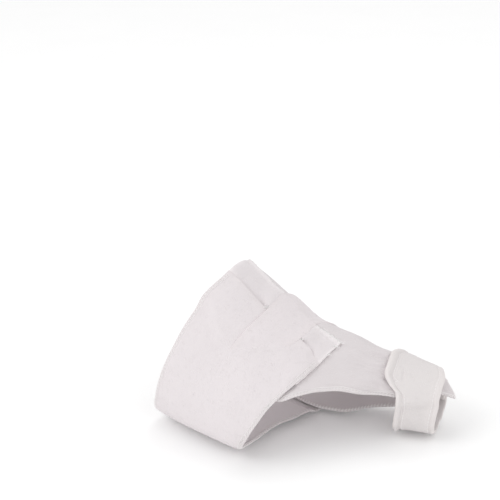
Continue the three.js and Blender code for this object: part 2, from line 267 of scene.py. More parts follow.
# Middle line and width of the instep band: shares of HOLLOW_LENGTH and BAND_WIDTH by turn
BAND_EDGES = table(["turn", "centre", "width"], [
    [-285, 0.075, 0.96],
    [-259, 0.076, 0.96],
    [-240, 0.068, 1.01],
    [-217, 0.056, 1.10],
    [-204, 0.044, 1.13],
    [-189, 0.020, 1.07],
    [-175, -0.001, 0.99],
    [-166, -0.013, 0.95],
    [-150, -0.015, 0.96],
    [-90, 0.000, 1.00],
    [-45, 0.023, 1.00],
    [15, 0.055, 1.00],
])

# Turn of the band's slanting end, and of the hook tab's end past it, across the band
END_EDGES = table(["across", "band_end", "tab_end"], [
    [0.00, 98, 77],
    [0.11, 100.5, 80.5],
    [0.38, 106, 79.5],
    [0.55, 111, 82],
    [0.77, 120, 90],
    [0.87, 127, 95],
    [0.95, 135, 100.5],
    [1.00, 140, 105],
])

# Middle line of the closing strap by turn, a share of HOLLOW_LENGTH
STRAP_LINE = table(["turn", "centre"], [
    [-30, 0.098],
    [30, 0.090],
    [76, 0.086],
    [110, 0.092],
    [138, 0.083],
    [152, 0.077],
])

# Front edge and width of the toe strap: shares of HOLLOW_LENGTH and TOE_STRAP_WIDTH by turn
TOE_STRAP_EDGES = table(["turn", "front", "width"], [
    [-30, 0.388, 0.80],
    [20, 0.386, 0.80],
    [55, 0.393, 0.86],
    [80, 0.409, 0.97],
    [100, 0.418, 0.995],
    [116, 0.421, 0.98],
    [133, 0.424, 0.98],
    [147, 0.426, 0.85],
    [156, 0.427, 0.71],
    [185, 0.424, 0.66],
    [240, 0.414, 0.70],
    [300, 0.398, 0.76],
    [340, 0.389, 0.80],
    [390, 0.386, 0.80],
])

# Upper and lower edges of the inner-side panel in degrees by station
PANEL_EDGES = table(["station", "lower", "upper"], [
    [-0.046, -42, 114],
    [0.000, -48, 128],
    [0.085, -52, 151],
    [0.150, -54, 163],
    [0.174, -54, 163.4],
    [0.200, -54, 160.3],
    [0.223, -54, 158.5],
    [0.250, -53, 158.3],
    [0.290, -52, 161],
    [0.335, -50, 160.4],
    [0.390, -48, 152],
    [0.425, -46, 140],
    [0.460, -44, 130],
])

# Reach of the panel's rounded front end past the toe strap, a share of PANEL_TIP
PANEL_FRONT = table(["across", "reach"], [
    [0.00, -1.30],
    [0.24, -1.30],
    [0.38, -1.00],
    [0.48, -0.40],
    [0.56, 0.12],
    [0.63, 0.55],
    [0.70, 0.90],
    [0.755, 1.03],
    [0.80, 0.85],
    [0.84, 0.50],
    [0.89, 0.05],
    [0.94, -0.40],
    [1.00, -0.90],
])

# Soft hollows and swells of the worn cloth: depth is a share of PANEL_THICK and long a share
# of HOLLOW_LENGTH
DENTS = table(["station", "turn", "depth", "long", "wide"], [
    [0.020, 146, -0.30, 0.055, 22],
    [0.098, 152, 0.30, 0.055, 22],
    [0.262, 128, -0.35, 0.022, 14],
    [0.222, 112, 0.22, 0.030, 20],
    [0.102, 55, -0.75, 0.030, 25],
    [0.243, 48, -1.00, 0.034, 28],
])


def read(rows, key, column, at):
    """Smooth curve through one column of a table, with no overshoot between its rows."""
    keys, values = rows[key], rows[column]
    slopes = np.diff(values) / np.diff(keys)
    before = np.concatenate([slopes[:1], slopes])
    after = np.concatenate([slopes, slopes[-1:]])
    same = before * after > 0
    tangents = np.where(same, 2 * before * after / np.where(same, before + after, 1), 0)
    at = np.clip(at, keys[0], keys[-1])
    cell = np.clip(np.searchsorted(keys, at, side="right") - 1, 0, len(keys) - 2)
    run = keys[cell + 1] - keys[cell]
    t = (at - keys[cell]) / run
    bend = tangents[cell] * t * (1 - t) ** 2 - tangents[cell + 1] * t * t * (1 - t)
    return values[cell] + (values[cell + 1] - values[cell]) * t * t * (3 - 2 * t) + bend * run


def mix(start, end, share):
    return start + (end - start) * share


def smooth(share):
    share = np.clip(share, 0, 1)
    return share * share * (3 - 2 * share)


def bump(distance, reach):
    """1 at a line or place, easing to 0 at the reach."""
    return smooth(1 - np.abs(distance) / reach)


def ridges(off, rows):
    """Rolls and grooves at a distance from an edge."""
    return sum(height * bump(off - place, reach) for height, place, reach in rows)


def in_turn(turn):
    return np.mod(turn + 180, 360) - 180


def hollow_point(x, turn):
    """Points on the hollow's surface at stations in millimetres and turns in degrees."""
    def size(column, unit=1):
        return read(SECTIONS, "station", column, x / HOLLOW_LENGTH) * unit

    angle = np.radians(turn)
    top, inner = np.sin(angle) >= 0, np.cos(angle) >= 0
    middle = np.where(top, size("crest_side"), size("sole_side")) * HOLLOW_BREADTH
    side = np.where(inner, size("inner_side"), size("outer_side")) * HOLLOW_BREADTH
    height = np.where(inner, size("inner_height"), size("outer_height")) * INSTEP_HEIGHT
    rise = np.where(top, size("crest_height", INSTEP_HEIGHT) - height, height)
    full_top = np.where(inner, size("full_inner"), size("full_outer"))
    full = np.where(top, full_top, size("full_sole"))
    across = (np.abs(np.cos(angle)) / np.abs(side - middle)) ** full
    upwards = (np.abs(np.sin(angle)) / rise) ** full
    reach = (across + upwards) ** (-1 / full)
    return np.stack(
        [x + 0 * turn, middle + reach * np.cos(angle), height + reach * np.sin(angle)], -1
    )


def dent_at(x, turn):
    depth = 0
    for k in range(len(DENTS["turn"])):
        along = (x / HOLLOW_LENGTH - DENTS["station"][k]) / DENTS["long"][k]
        around = in_turn(turn - DENTS["turn"][k]) / DENTS["wide"][k]
        depth = depth + DENTS["depth"][k] * PANEL_THICK * np.exp(-(along**2 + around**2))
    return depth


def cloth_point(x, turn, distance):
    """Points of a cloth face that lies at the given distance off the hollow."""
    step = 0.5
    along = hollow_point(x + step, turn) - hollow_point(x - step, turn)
    around = hollow_point(x, turn + step) - hollow_point(x, turn - step)
    outwards = np.cross(around, along)
    outwards /= np.linalg.norm(outwards, axis=-1, keepdims=True)
    return hollow_point(x, turn) + outwards * (distance + dent_at(x, turn))[..., None]


def instep_turn(length):
    return np.degrees(length / INSTEP_RADIUS)


def toe_turn(length):
    return np.degrees(length / TOE_RADIUS)


def cover(past, ramp, margin=EDGE_MARGIN):
    """1 over a covered stretch, easing to 0 over the ramp once past it by the margin."""
    return 1 - smooth((past - margin) / ramp)


def swell(x, turn, length, seed):
    """Slow uneven waves from -1 to 1, the same on each run."""
    total = 0
    for k in range(5):
        heading = 2.4 * seed + 1.9 * k
        wave = 2 * math.pi / (length * (0.7 + 0.17 * k))
        around = np.radians(turn) * INSTEP_RADIUS
        total = total + np.sin(
            wave * (x * math.cos(heading) + around * math.sin(heading)) + 1.3 * seed * (k + 1)
        )
    return total / 5


def swells(x, turn, rows):
    return sum(height * swell(x, turn, length, seed) for height, length, seed in rows)


# Layers: how far off the hollow each piece's inner face lies


def band_edge(turn, across):
    centre = read(BAND_EDGES, "turn", "centre", turn) * HOLLOW_LENGTH
    width = read(BAND_EDGES, "turn", "width", turn) * BAND_WIDTH
    return centre + (across - 0.5) * width


def band_across(x, turn):
    low = band_edge(turn, 0)
    return (x - low) / (band_edge(turn, 1) - low)


def band_end_turn(across):
    return read(END_EDGES, "across", "band_end", across)


def tab_end_turn(across):
    return read(END_EDGES, "across", "tab_end", across)


def toe_strap_front(turn):
    return read(TOE_STRAP_EDGES, "turn", "front", turn) * HOLLOW_LENGTH


def toe_strap_width(turn):
    return read(TOE_STRAP_EDGES, "turn", "width", turn) * TOE_STRAP_WIDTH


def panel_back():
    return float(band_edge(np.float64(0), 0)) + PANEL_BACK_INSET


def panel_edges(x):
    """Turns of the panel's lower and upper edges."""
    station = x / HOLLOW_LENGTH
    return [read(PANEL_EDGES, "station", edge, station) for edge in ("lower", "upper")]


def past_panel_edges(x, turn):
    lower, upper = panel_edges(x)
    return np.abs(in_turn(turn - (lower + upper) / 2)) - (upper - lower) / 2


def past_panel(x, turn):
    return np.maximum(past_panel_edges(x, turn) / instep_turn(1), panel_back() - x)


OVER_PANEL = PANEL_THICK + LAYER_GAP
OVER_TAB = OVER_PANEL + TAB_THICK + LAYER_GAP


def band_inner(x, turn):
    panel_lift = OVER_PANEL * cover(past_panel(x, turn), BAND_RAMP)
    upper = np.where(turn < -180, turn, -180)
    tab_edge = band_end_turn(band_across(x, upper)) + instep_turn(TAB_TUCK)
    past_tab = np.where(turn < -180, (upper + 360 - tab_edge) / instep_turn(1), 1e6)
    return panel_lift + (OVER_TAB - OVER_PANEL) * cover(past_tab, BAND_RAMP)


def squeezed(distance):
    """Share of its thickness that cloth keeps at a distance from a stitched edge."""
    return mix(EDGE_THIN, 1, smooth(distance / EDGE_PRESS))


def past_root(turn):
    return (STRAP_ROOT - turn) / instep_turn(1)


def strap_thick(turn):
    return mix(STRAP_ROOT_THICK, STRAP_THICK, smooth(past_root(turn) / STRAP_ROOT_TAPER))


def strap_line(turn):
    return read(STRAP_LINE, "turn", "centre", turn) * HOLLOW_LENGTH


def strap_proud(x, turn):
    """How far the closing strap stands above the band; below zero where it is sewn in."""
    forward = smooth((x - strap_line(turn)) / STRAP_WIDTH + 0.5)
    onset = mix(*STRAP_ONSET, forward)
    risen = mix(*STRAP_RISEN, forward)
    rise = mix(STRAP_PROUD, STRAP_FRONT_PROUD, forward) + STRAP_SEWN_IN
    grown = smooth((past_root(turn) - onset) / (risen - onset))
    return rise * grown - STRAP_SEWN_IN


def beside_strap(x, turn):
    """Millimetres in from the closing strap's side edges, below zero beside the strap."""
    return STRAP_WIDTH / 2 - np.abs(x - strap_line(turn))


def under_strap(x, turn, soft=1.5):
    """1 under the closing strap, easing to 0 at its edges."""
    top = in_turn(turn)
    lengthwise = np.minimum(past_root(top), (top - STRAP_END) / instep_turn(1))
    return smooth(np.minimum(beside_strap(x, top), lengthwise) / soft - 0.2)


def strap_support(x, turn, margin, ramp):
    """What the strap rests on, with a ramp down past the tab's end."""
    across = band_across(x, turn - 360)
    band_end, tab_end = band_end_turn(across), tab_end_turn(across)
    off_band = BAND_THICK + strap_proud(x, turn) - strap_thick(turn)
    over_start = OVER_PANEL + BAND_THICK + STRAP_GAP
    past_tab = cover((tab_end - turn) / instep_turn(1), ramp, margin)
    past_band = cover((band_end - turn) / instep_turn(1), STRAP_STEP_RAMP, 0.2)
    on_end = mix(mix(OVER_PANEL, OVER_TAB, past_tab), OVER_TAB + off_band, past_band)
    on_start = over_start * cover((turn - BAND_START) / instep_turn(1), 2 * ramp, margin)
    on_band = band_inner(x, turn - 360) + off_band
    well_on_band = smooth((turn - band_end) / instep_turn(STRAP_RAMP))
    return mix(np.maximum(on_end, on_start), on_band, well_on_band)


def strap_inner(x, turn):
    """The strap's edges hug what is under them and its middle bridges the steps."""
    hugging = strap_support(x, turn, 0.2, 1.5)
    bridging = strap_support(x, turn, EDGE_MARGIN, STRAP_RAMP)
    return mix(hugging, np.maximum(hugging, bridging), smooth(beside_strap(x, turn) / 6))


def toe_strap_inner(x, turn, v):
    lift = OVER_PANEL * cover(past_panel_edges(x, turn) / toe_turn(1), TOE_STRAP_RAMP)
    lap_start = TOE_STRAP_START + 360 - toe_turn(EDGE_MARGIN + TOE_STRAP_RAMP)
    lap = smooth((turn - lap_start) / toe_turn(TOE_STRAP_RAMP))
    on_top = np.maximum(np.cos(np.radians(turn - FLARE_TURN)), 0) ** 2
    flare = TOE_STRAP_FLARE * mix(FLARE_LEAST, 1, on_top) * (1 - smooth(v / FLARE_REACH)) ** 2
    return lift + lap * (TOE_STRAP_THICK + LAYER_GAP) + flare


def cut_corner(share, width, radius):
    """Millimetres that a round corner takes off an end, at a share of the width across it."""
    left = np.clip(1 - np.minimum(share, 1 - share) * width / radius, 0, 1)
    return radius * left ** CORNER_FULLNESS


def run_lengths(line):
    """Length from the first point of a line to each of its points."""
    return np.concatenate([[0], np.cumsum(np.linalg.norm(np.diff(line, axis=0), axis=1))])


def even_turns(x, start, end):
    """Function from shares of cloth length to shares of turn between two turns."""
    shares = np.linspace(0, 1, 721)
    lengths = run_lengths(hollow_point(np.full_like(shares, x), mix(start, end, shares)))
    return lambda u: np.interp(u, lengths / lengths[-1], shares)


class ClothPiece:
    """A cloth layer: place gives x and turn at shares u round and v across, inner the height
    of its inner face off the hollow, thick its thickness, and relief what its outer face
    swells or sinks, all in millimetres."""

    def __init__(self, place, inner, thick, relief, sheet):
        self.place, self.inner, self.thick, self.relief = place, inner, thick, relief
        self.girth, self.width = sheet

    def middle(self, u, v):
        x, turn = self.place(u, v)
        return cloth_point(x, turn, self.inner(x, turn, u, v) + 0.5 * self.thick(u, v))

    def stretch(self, u, v):
        """Millimetres of cloth per share of u and of v."""
        step = 0.002
        along = self.middle(u + step, v) - self.middle(u - step, v)
        across = self.middle(u, v + step) - self.middle(u, v - step)
        return [np.linalg.norm(run, axis=-1) / (2 * step) for run in (along, across)]

    def rim_distance(self, u, v):
        """Millimetres in from the nearer end and from the nearer side."""
        per_u, per_v = self.stretch(np.clip(u, *ALL_ALONG), np.clip(v, *ALL_ALONG))
        return np.minimum(u, 1 - u) * per_u, np.minimum(v, 1 - v) * per_v

    def face(self, u, v, level, lift=0.0):
        """Points on the inner face at level 0 or the outer face at level 1, with round rims."""
        x, turn = self.place(u, v)
        thick = self.thick(u, v)
        fullness = 1.0
        for distance in self.rim_distance(u, v):
            inwards = np.clip(distance / (0.5 * thick), 0, 1)
            fullness = fullness * np.sqrt(1 - (1 - inwards) ** 2)
        relief = self.relief(u, v, x, turn) * fullness if level else 0.0
        height = thick * (0.5 + (level - 0.5) * fullness) + relief + lift
        return cloth_point(x, turn, self.inner(x, turn, u, v) + height)

    def edge_spots(self, edge, share, inset):
        """Shares u and v at an inset in millimetres from the edge ("u" or "v", 0 or 1)."""
        axis, end = edge
        share = np.asarray(share, float)
        near = np.full_like(share, abs(end - 0.01))
        if axis == "v":
            _, per = self.stretch(share, near)
            return share, end + (1 - 2 * end) * inset / per
        per, _ = self.stretch(near, share)
        return end + (1 - 2 * end) * inset / per, share

    def stitch_shares(self, edge, start, end, pitch):
        """Shares along an edge at even stitches."""
        fine = np.linspace(start, end, 400)
        lengths = run_lengths(self.middle(*self.edge_spots(edge, fine, 0)))
        return np.interp(np.arange(int(lengths[-1] / pitch)) * pitch, lengths, fine)

    def over_edge(self, edge, share, out):
        """Points just outside an edge, at the middle of the cloth."""
        rim = self.middle(*self.edge_spots(edge, share, 0))
        away = rim - self.middle(*self.edge_spots(edge, share, 0.5))
        away /= np.linalg.norm(away, axis=-1, keepdims=True)
        return rim + away * np.broadcast_to(out, share.shape)[..., None]


def rim_spaced(count, length, thick):
    """Shares from 0 to 1, close together over the round rims."""
    near = np.array(RIM_STEPS) * 0.5 * thick / length
    inner = np.linspace(near[-1], 1 - near[-1], count + 1 - 2 * (len(near) - 1))
    return np.concatenate([near[:-1], inner, (1 - near[:-1])[::-1]])


def add_object(name, data):
    made = bpy.data.objects.new(name, data)
    bpy.context.scene.collection.objects.link(made)
    return made


def build_cloth(name, piece, grid, thick, end_reach=RIM_REACH, side_reach=RIM_REACH):
    """Mesh of a cloth piece, whose rim attribute falls from 1 at its ends and sides."""
    columns, rows = grid
    us, vs = rim_spaced(columns, piece.girth, thick), rim_spaced(rows, piece.width, thick)
    bm = bmesh.new()
    uv_layer = bm.loops.layers.uv.new("cloth")
    rim_layer = bm.verts.layers.float.new("rim")
    for level in (1, 0):
        made = bmesh.ops.create_grid(bm, x_segments=columns, y_segments=rows, size=0.5)["verts"]
        u = us[[round((vert.co.x + 0.5) * columns) for vert in made]]
        v = vs[[round((vert.co.y + 0.5) * rows) for vert in made]]
        spots = dict(zip(made, zip(u * piece.girth * MM, v * piece.width * MM)))
        end_distance, side_distance = piece.rim_distance(u, v)
        rim = np.exp(-np.minimum(end_distance / end_reach, side_distance / side_reach))
        for vert, point, near in zip(made, piece.face(u, v, level) * MM, rim):
            vert.co = point
            vert[rim_layer] = near
        for face in {face for vert in made for face in vert.link_faces}:
            for loop in face.loops:
                loop[uv_layer].uv = spots[loop.vert]
    bmesh.ops.remove_doubles(bm, verts=bm.verts, dist=1e-6)
    bmesh.ops.recalc_face_normals(bm, faces=bm.faces)
    return finish_mesh(name, bm)


def finish_mesh(name, bm):
    mesh = bpy.data.meshes.new(name)
    for face in bm.faces:
        face.smooth = True
    bm.to_mesh(mesh)
    bm.free()
    return add_object(name, mesh)


def build_threads(name, strands, radius, sides=1):
    """Round threads along the given lines of points, in millimetres, as one mesh."""
    curve = bpy.data.curves.new(name, "CURVE")
    curve.dimensions = "3D"
    curve.bevel_depth = radius * MM
    curve.bevel_resolution = sides
    curve.use_fill_caps = True
    for points in strands:
        spline = curve.splines.new("POLY")
        spline.points.add(len(points) - 1)
        for spot, point in zip(spline.points, points):
            spot.co = (*(point * MM), 1)
    holder = add_object(name + "_line", curve)
    evaluated = holder.evaluated_get(bpy.context.evaluated_depsgraph_get())
    mesh = bpy.data.meshes.new_from_object(evaluated)
    mesh.name = name
    bpy.data.objects.remove(holder)
    bpy.data.curves.remove(curve)
    for polygon in mesh.polygons:
        polygon.use_smooth = True
    return add_object(name, mesh)


# One overlock stitch: share of the pitch, inset as a share of the bite, level, lift; the level
# is 1 on the outer face, 0 on the inner face and 0.5 over the edge
OVERLOCK_STEPS = [
    (0.00, 1.00, 1, 0.02),
    (0.16, 0.66, 1, 0.10),
    (0.32, 0.28, 1, 0.10),
    (0.42, -0.06, 0.5, 0.00),
    (0.48, 0.30, 0, -0.08),
    (0.56, 0.76, 0, -0.06),
    (0.64, 0.30, 0, -0.08),
    (0.70, -0.06, 0.5, 0.00),
    (0.80, 0.28, 1, 0.12),
    (0.92, 0.66, 1, 0.12),
]


# One needle or hem stitch: share of the pitch, lift
NEEDLE_STEPS = [
    (0.02, -NEEDLE_SUNK), (0.12, 0.08), (0.50, 0.12), (0.88, 0.08), (0.98, -NEEDLE_SUNK),
]
HEM_STEPS = [
    (0.06, -STITCH_SUNK), (0.16, 0.02), (0.45, 0.08), (0.74, 0.02), (0.84, -STITCH_SUNK),
]

# Fibres from root to tip: share of the length, then for the nap the share of its rise, for the
# fringe the distance past the edge and for the tufts the rise in millimetres
NAP_STEPS = [(0.0, -0.08), (0.35, 0.8), (0.75, 1.0), (1.0, 0.45)]
FRINGE_STEPS = [(0.0, -1.2), (0.3, -0.3), (0.7, 0.5), (1.0, 1.0)]
TUFT_STEPS = [(0.0, -0.3), (0.4, 0.35), (0.8, 0.45), (1.0, 0.15)]


def stitch_points(piece, edge, share, inset, steps):
    """Points of every stitch of a row that runs at an inset from an edge."""
    step = np.gradient(share)
    points = []
    for ahead, lift in steps:
        spot = np.clip(share + ahead * step, *ON_CLOTH)
        points.append(piece.face(*piece.edge_spots(edge, spot, inset), 1, lift))
    return np.stack(points, 1)


def overlock(name, piece, edges, bite=OVERLOCK_BITE):
    """Looper thread over each edge and the needle thread that locks it, stitch by stitch."""
    strands = []
    for edge in edges:
        share = piece.stitch_shares(edge, *ALL_ALONG, OVERLOCK_PITCH)
        step = np.gradient(share)
        looper = []
        for ahead, inset, level, lift in OVERLOCK_STEPS:
            spot = np.clip(share + ahead * step, *ON_CLOTH)
            if level == 0.5:
                looper.append(piece.over_edge(edge, spot, -inset * bite))
            else:
                looper.append(piece.face(*piece.edge_spots(edge, spot, inset * bite), level, lift))
        needle = stitch_points(piece, edge, share, bite, NEEDLE_STEPS)
        strands += [np.stack(looper, 1).reshape(-1, 3), needle.reshape(-1, 3)]
    return build_threads(name, strands, THREAD_RADIUS)


def running_stitch(name, piece, edge, inset):
    """A line of short straight stitches sunk a little in the cloth, along a hem."""
    share = piece.stitch_shares(edge, *HEM_SPAN, HEM_PITCH)
    stitches = stitch_points(piece, edge, share, inset, HEM_STEPS)
    return build_threads(name, stitches, THREAD_RADIUS)


def nap(name, piece, count, length, seed, rise=0.22, u_span=(0.005, 0.995), v_span=HEM_SPAN):
    """Fine curled fibres brushed up from the outer face, length and rise in millimetres."""
    rng = np.random.default_rng(seed)
    u, v = rng.uniform(*u_span, count), rng.uniform(*v_span, count)
    heading = rng.uniform(0, 2 * math.pi, count)
    reach = length * rng.uniform(0.5, 1.2, count)
    per_u, per_v = piece.stretch(u, v)
    curl = rng.uniform(-0.9, 0.9, count)
    points = []
    for share, lift in NAP_STEPS:
        turned = heading + curl * share
        spot_u = np.clip(u + reach * share * np.cos(turned) / per_u, *ON_CLOTH)
        spot_v = np.clip(v + reach * share * np.sin(turned) / per_v, *ON_CLOTH)
        points.append(piece.face(spot_u, spot_v, 1, lift * rise * (0.6 + 0.4 * np.sin(heading))))
    return build_threads(name, np.stack(points, 1), FIBRE_RADIUS, 0)


def fringe(name, piece, edge, count, length, seed):
    """Short cut loops that stand out past a raw edge."""
    rng = np.random.default_rng(seed)
    share = np.sort(rng.uniform(*HEM_SPAN, count))
    lean = rng.uniform(-0.012, 0.012, count)
    reach = length * rng.uniform(0.3, 1.0, count)
    level = rng.uniform(0.2, 1.0, count)
    points = []
    for along, out in FRINGE_STEPS:
        spot = np.clip(share + lean * along, *ON_CLOTH)
        if out > 0:
            points.append(piece.over_edge(edge, spot, out * reach))
        else:
            inside = piece.edge_spots(edge, spot, 0.3 - out * reach)
            points.append(piece.face(*inside, 1, 0.12 * level))
    return build_threads(name, np.stack(points, 1), FRINGE_RADIUS, 0)


def tufts(name, places, count, seed):
    """Small clumps of pulled loops at the given places: x, turn and height."""
    rng = np.random.default_rng(seed)
    x, turn, height = (np.repeat(np.array(column, float), count) for column in zip(*places))
    x = x + rng.normal(0, TUFT_SPREAD, len(x))
    turn = turn + rng.normal(0, 0.9, len(x))
    heading = rng.uniform(0, 2 * math.pi, len(x))
    reach = rng.uniform(*TUFT_LENGTHS, len(x))
    points = []
    for share, lift in TUFT_STEPS:
        turned = heading + 1.2 * share
        points.append(cloth_point(
            x + reach * share * np.cos(turned),
            turn + instep_turn(1) * reach * share * np.sin(turned),
            height + lift * (0.5 + 0.5 * np.cos(heading * 3)),
        ))
    return build_threads(name, np.stack(points, 1), TUFT_RADIUS, 0)


def strap_corners():
    """Where the closing strap's edges cross the band's end."""
    places = []
    for side in (-0.5, 0.5):
        turn = np.float64(120)
        for _ in range(3):
            x = strap_line(turn) + side * STRAP_WIDTH
            turn = band_end_turn(band_across(x, turn - 360))
        height = strap_inner(x, turn) + 0.7 * strap_thick(turn)
        places.append((float(x), float(turn), float(height)))
    return places


def frayed_spots(piece, spots):
    """Places of the outer face at shares u and v, for tufts."""
    places = []
    for u, v in spots:
        x, turn = piece.place(np.float64(u), np.float64(v))
        height = piece.inner(x, turn, u, v) + piece.thick(u, v)
        places.append((float(x), float(turn), float(height)))
    return places


# The pieces


def splint_panel():
    back = panel_back()
    toe_front = float(toe_strap_front(np.float64(90)))
    even = even_turns(mix(back, toe_front, PANEL_MIDDLE), *PANEL_SPAN)

    def place(u, v):
        front = toe_front + read(PANEL_FRONT, "across", "reach", even(u)) * PANEL_TIP
        x = mix(back, front, v)
        return x, mix(*panel_edges(x), even(u))

    def thick(u, v):
        off_edge = np.minimum(np.minimum(u, 1 - u) * PANEL_GIRTH, (1 - v) * PANEL_LENGTH)
        return PANEL_THICK * squeezed(off_edge)

    def relief(u, v, x, turn):
        before_strap = toe_strap_front(turn) - toe_strap_width(turn) - x
        before_band = x - band_edge(np.where(turn > 0, turn - 360, turn), 1)
        bare = smooth(before_strap / 2 + 0.5) * smooth(before_band / 2 + 0.5)
        pull = bump(before_strap - PUCKER_PLACE, PUCKER_REACH) * smooth((turn - 50) / 30)
        puckers = pull * sum(
            height * np.sin(np.radians(turn) * waves + phase + drift * x)
            for height, waves, phase, drift in PUCKERS
        )
        off_hem = (1 - u) * PANEL_GIRTH
        seam_waves = SEAM_WAVE * np.sin(x / 2.1 + np.sin(x / 5)) * bump(off_hem, 9)
        hem = ridges(off_hem, PANEL_HEM) * smooth((x - HEM_FADE_START) / HEM_FADE)
        drag = DRAG * np.sin((x + 0.55 * turn) / 3.1 + np.sin(x / 9)) * smooth(before_band / 20)
        soft = swells(x, turn, PANEL_SWELLS)
        beside = x - strap_line(turn) - STRAP_WIDTH / 2
        before_tab = tab_end_turn(band_across(x, turn - 360)) - turn
        seen = bump(turn - 70, 50) * smooth((before_tab - 0.5) / 3)
        by_strap = smooth(1 - beside / 9) * smooth((beside + 1.2) / 0.8) * seen
        strap_top = strap_inner(x, turn) + strap_thick(turn) - PANEL_THICK - BESIDE_STRAP
        lie = mix(-PANEL_SUNK, puckers + seam_waves + hem + drag + soft, bare)
        return mix(lie, np.minimum(strap_top, SWELL_LIMIT), by_strap)

    def inner(x, turn, u, v):
        past = np.maximum(x - toe_front + PANEL_TIP, 0)
        return -TIP_SLOPE * (np.hypot(past, TIP_BEND) - TIP_BEND)

    return ClothPiece(place, inner, thick, relief, PANEL_SHEET)


def end_shows(v):
    """1 where the band's slanting end stands out, 0 where it is flattened at its corners."""
    low, high = END_SHOWN
    return smooth((v - low) / END_FADE) * smooth((high - v) / END_FADE)


def instep_band():
    even = even_turns(0, *BAND_SPAN)

    def place(u, v):
        end = band_end_turn(np.clip(v, 0, 1)) - 360
        start = BAND_START - instep_turn(cut_corner(v, BAND_WIDTH, BAND_CORNER))
        turn = mix(start, end, even(u))
        return band_edge(turn, v), turn

    def thick(u, v):
        flat_end = (1 - end_shows(v)) * smooth(1 - (1 - u) * BAND_GIRTH / TAB_TUCK)
        off_edge = np.minimum(v, 1 - v) * BAND_BREADTH
        return BAND_THICK * squeezed(off_edge) * (1 - FLAT_LOSS * flat_end)

    def relief(u, v, x, turn):
        top = in_turn(turn)
        line = strap_line(top)
        behind = line - x - STRAP_WIDTH / 2
        root_tick = bump(top - ROOT_TICK_TURN - behind / 2, 2.2) * bump(behind - 5, 5.5)
        fan = bump(top - TENSION_TURN, 16) * bump(x - line, 20)
        pulled = TENSION * np.sin((x - line) / 3.4) * fan + ROOT_TICK * root_tick
        lip = END_LIP * end_shows(v) * bump((1 - u) * BAND_GIRTH, 2.6)
        bare = swells(x, turn, BAND_SWELLS) + pulled + lip
        proud = strap_proud(x, top)
        nested = under_strap(x, top) * smooth(proud / 0.25)
        return mix(bare, proud - strap_thick(top) - UNDER_STRAP, nested)

    def inner(x, turn, u, v):
        return band_inner(x, turn)

    return ClothPiece(place, inner, thick, relief, BAND_SHEET)


def hook_tab():
    def place(u, v):
        tucked = band_end_turn(v) + instep_turn(TAB_TUCK)
        ragged = sum(height * np.sin(waves * v + phase) for height, waves, phase in RAGGED)
        end = tab_end_turn(v) + ragged * smooth(u / 0.6)
        end = end - TAB_REACH * smooth((0.62 - v) / 0.2)
        turn = mix(tucked, end, u)
        return band_edge(turn - 360, v), turn

    def relief(u, v, x, turn):
        before_band = (band_end_turn(band_across(x, turn - 360)) - turn) / instep_turn(1)
        bare = smooth(before_band / 1.5 + 0.3) * (1 - under_strap(x, turn))
        off_end = (1 - u) * TAB_LENGTH
        welt = ridges(off_end, TAB_WELT) * (0.75 + 0.25 * np.sin(190 * v))
        groove = ridges(off_end, TAB_GROOVE)
        raised = TAB_RAISED * (1 - end_shows(v)) * smooth(1 - before_band / 24)
        shadow_line = SHADOW_LINE * end_shows(v) * bump(before_band - 0.6, 1.8)
        strap_top = strap_inner(x, turn) + strap_thick(turn) - inner(x, turn, u, v) - TAB_THICK
        beside = -beside_strap(x, turn)
        reach = mix(2.5, 9, smooth(before_band / 6))
        filled = smooth(1 - beside / reach) * smooth(off_end / 2) * smooth(before_band / 1.5)
        lie = mix(welt + groove + raised + shadow_line, strap_top - BESIDE_STRAP, filled)
        return mix(-TAB_SUNK, lie + swells(x, turn, TAB_SWELLS), bare)

    def inner(x, turn, u, v):
        return OVER_PANEL * cover(past_panel(x, turn), BAND_RAMP)

    def thick(u, v):
        return TAB_THICK + 0 * u

    return ClothPiece(place, inner, thick, relief, TAB_SHEET)


def closing_strap():
    even = even_turns(STRAP_STATION * HOLLOW_LENGTH, STRAP_ROOT, STRAP_END)

    def place(u, v):
        end = STRAP_END + instep_turn(cut_corner(v, STRAP_WIDTH, STRAP_CORNER))
        turn = mix(STRAP_ROOT, end, even(u))
        return strap_line(turn) + (v - 0.5) * STRAP_WIDTH, turn

    def relief(u, v, x, turn):
        crown = STRAP_CROWN * (1 - (2 * v - 1) ** 2) * smooth(past_root(turn) / 30)
        edges = bump(v * STRAP_WIDTH, 3) + bump((1 - v) * STRAP_WIDTH, 3)
        raised = STRAP_RAISED * bump(turn - STRAP_RAISED_TURN, 5) * edges
        return crown + swells(x, turn, STRAP_SWELLS) + raised

    def thick(u, v):
        return strap_thick(mix(STRAP_ROOT, STRAP_END, even(u)))

    def inner(x, turn, u, v):
        return strap_inner(x, turn)

    return ClothPiece(place, inner, thick, relief, STRAP_SHEET)


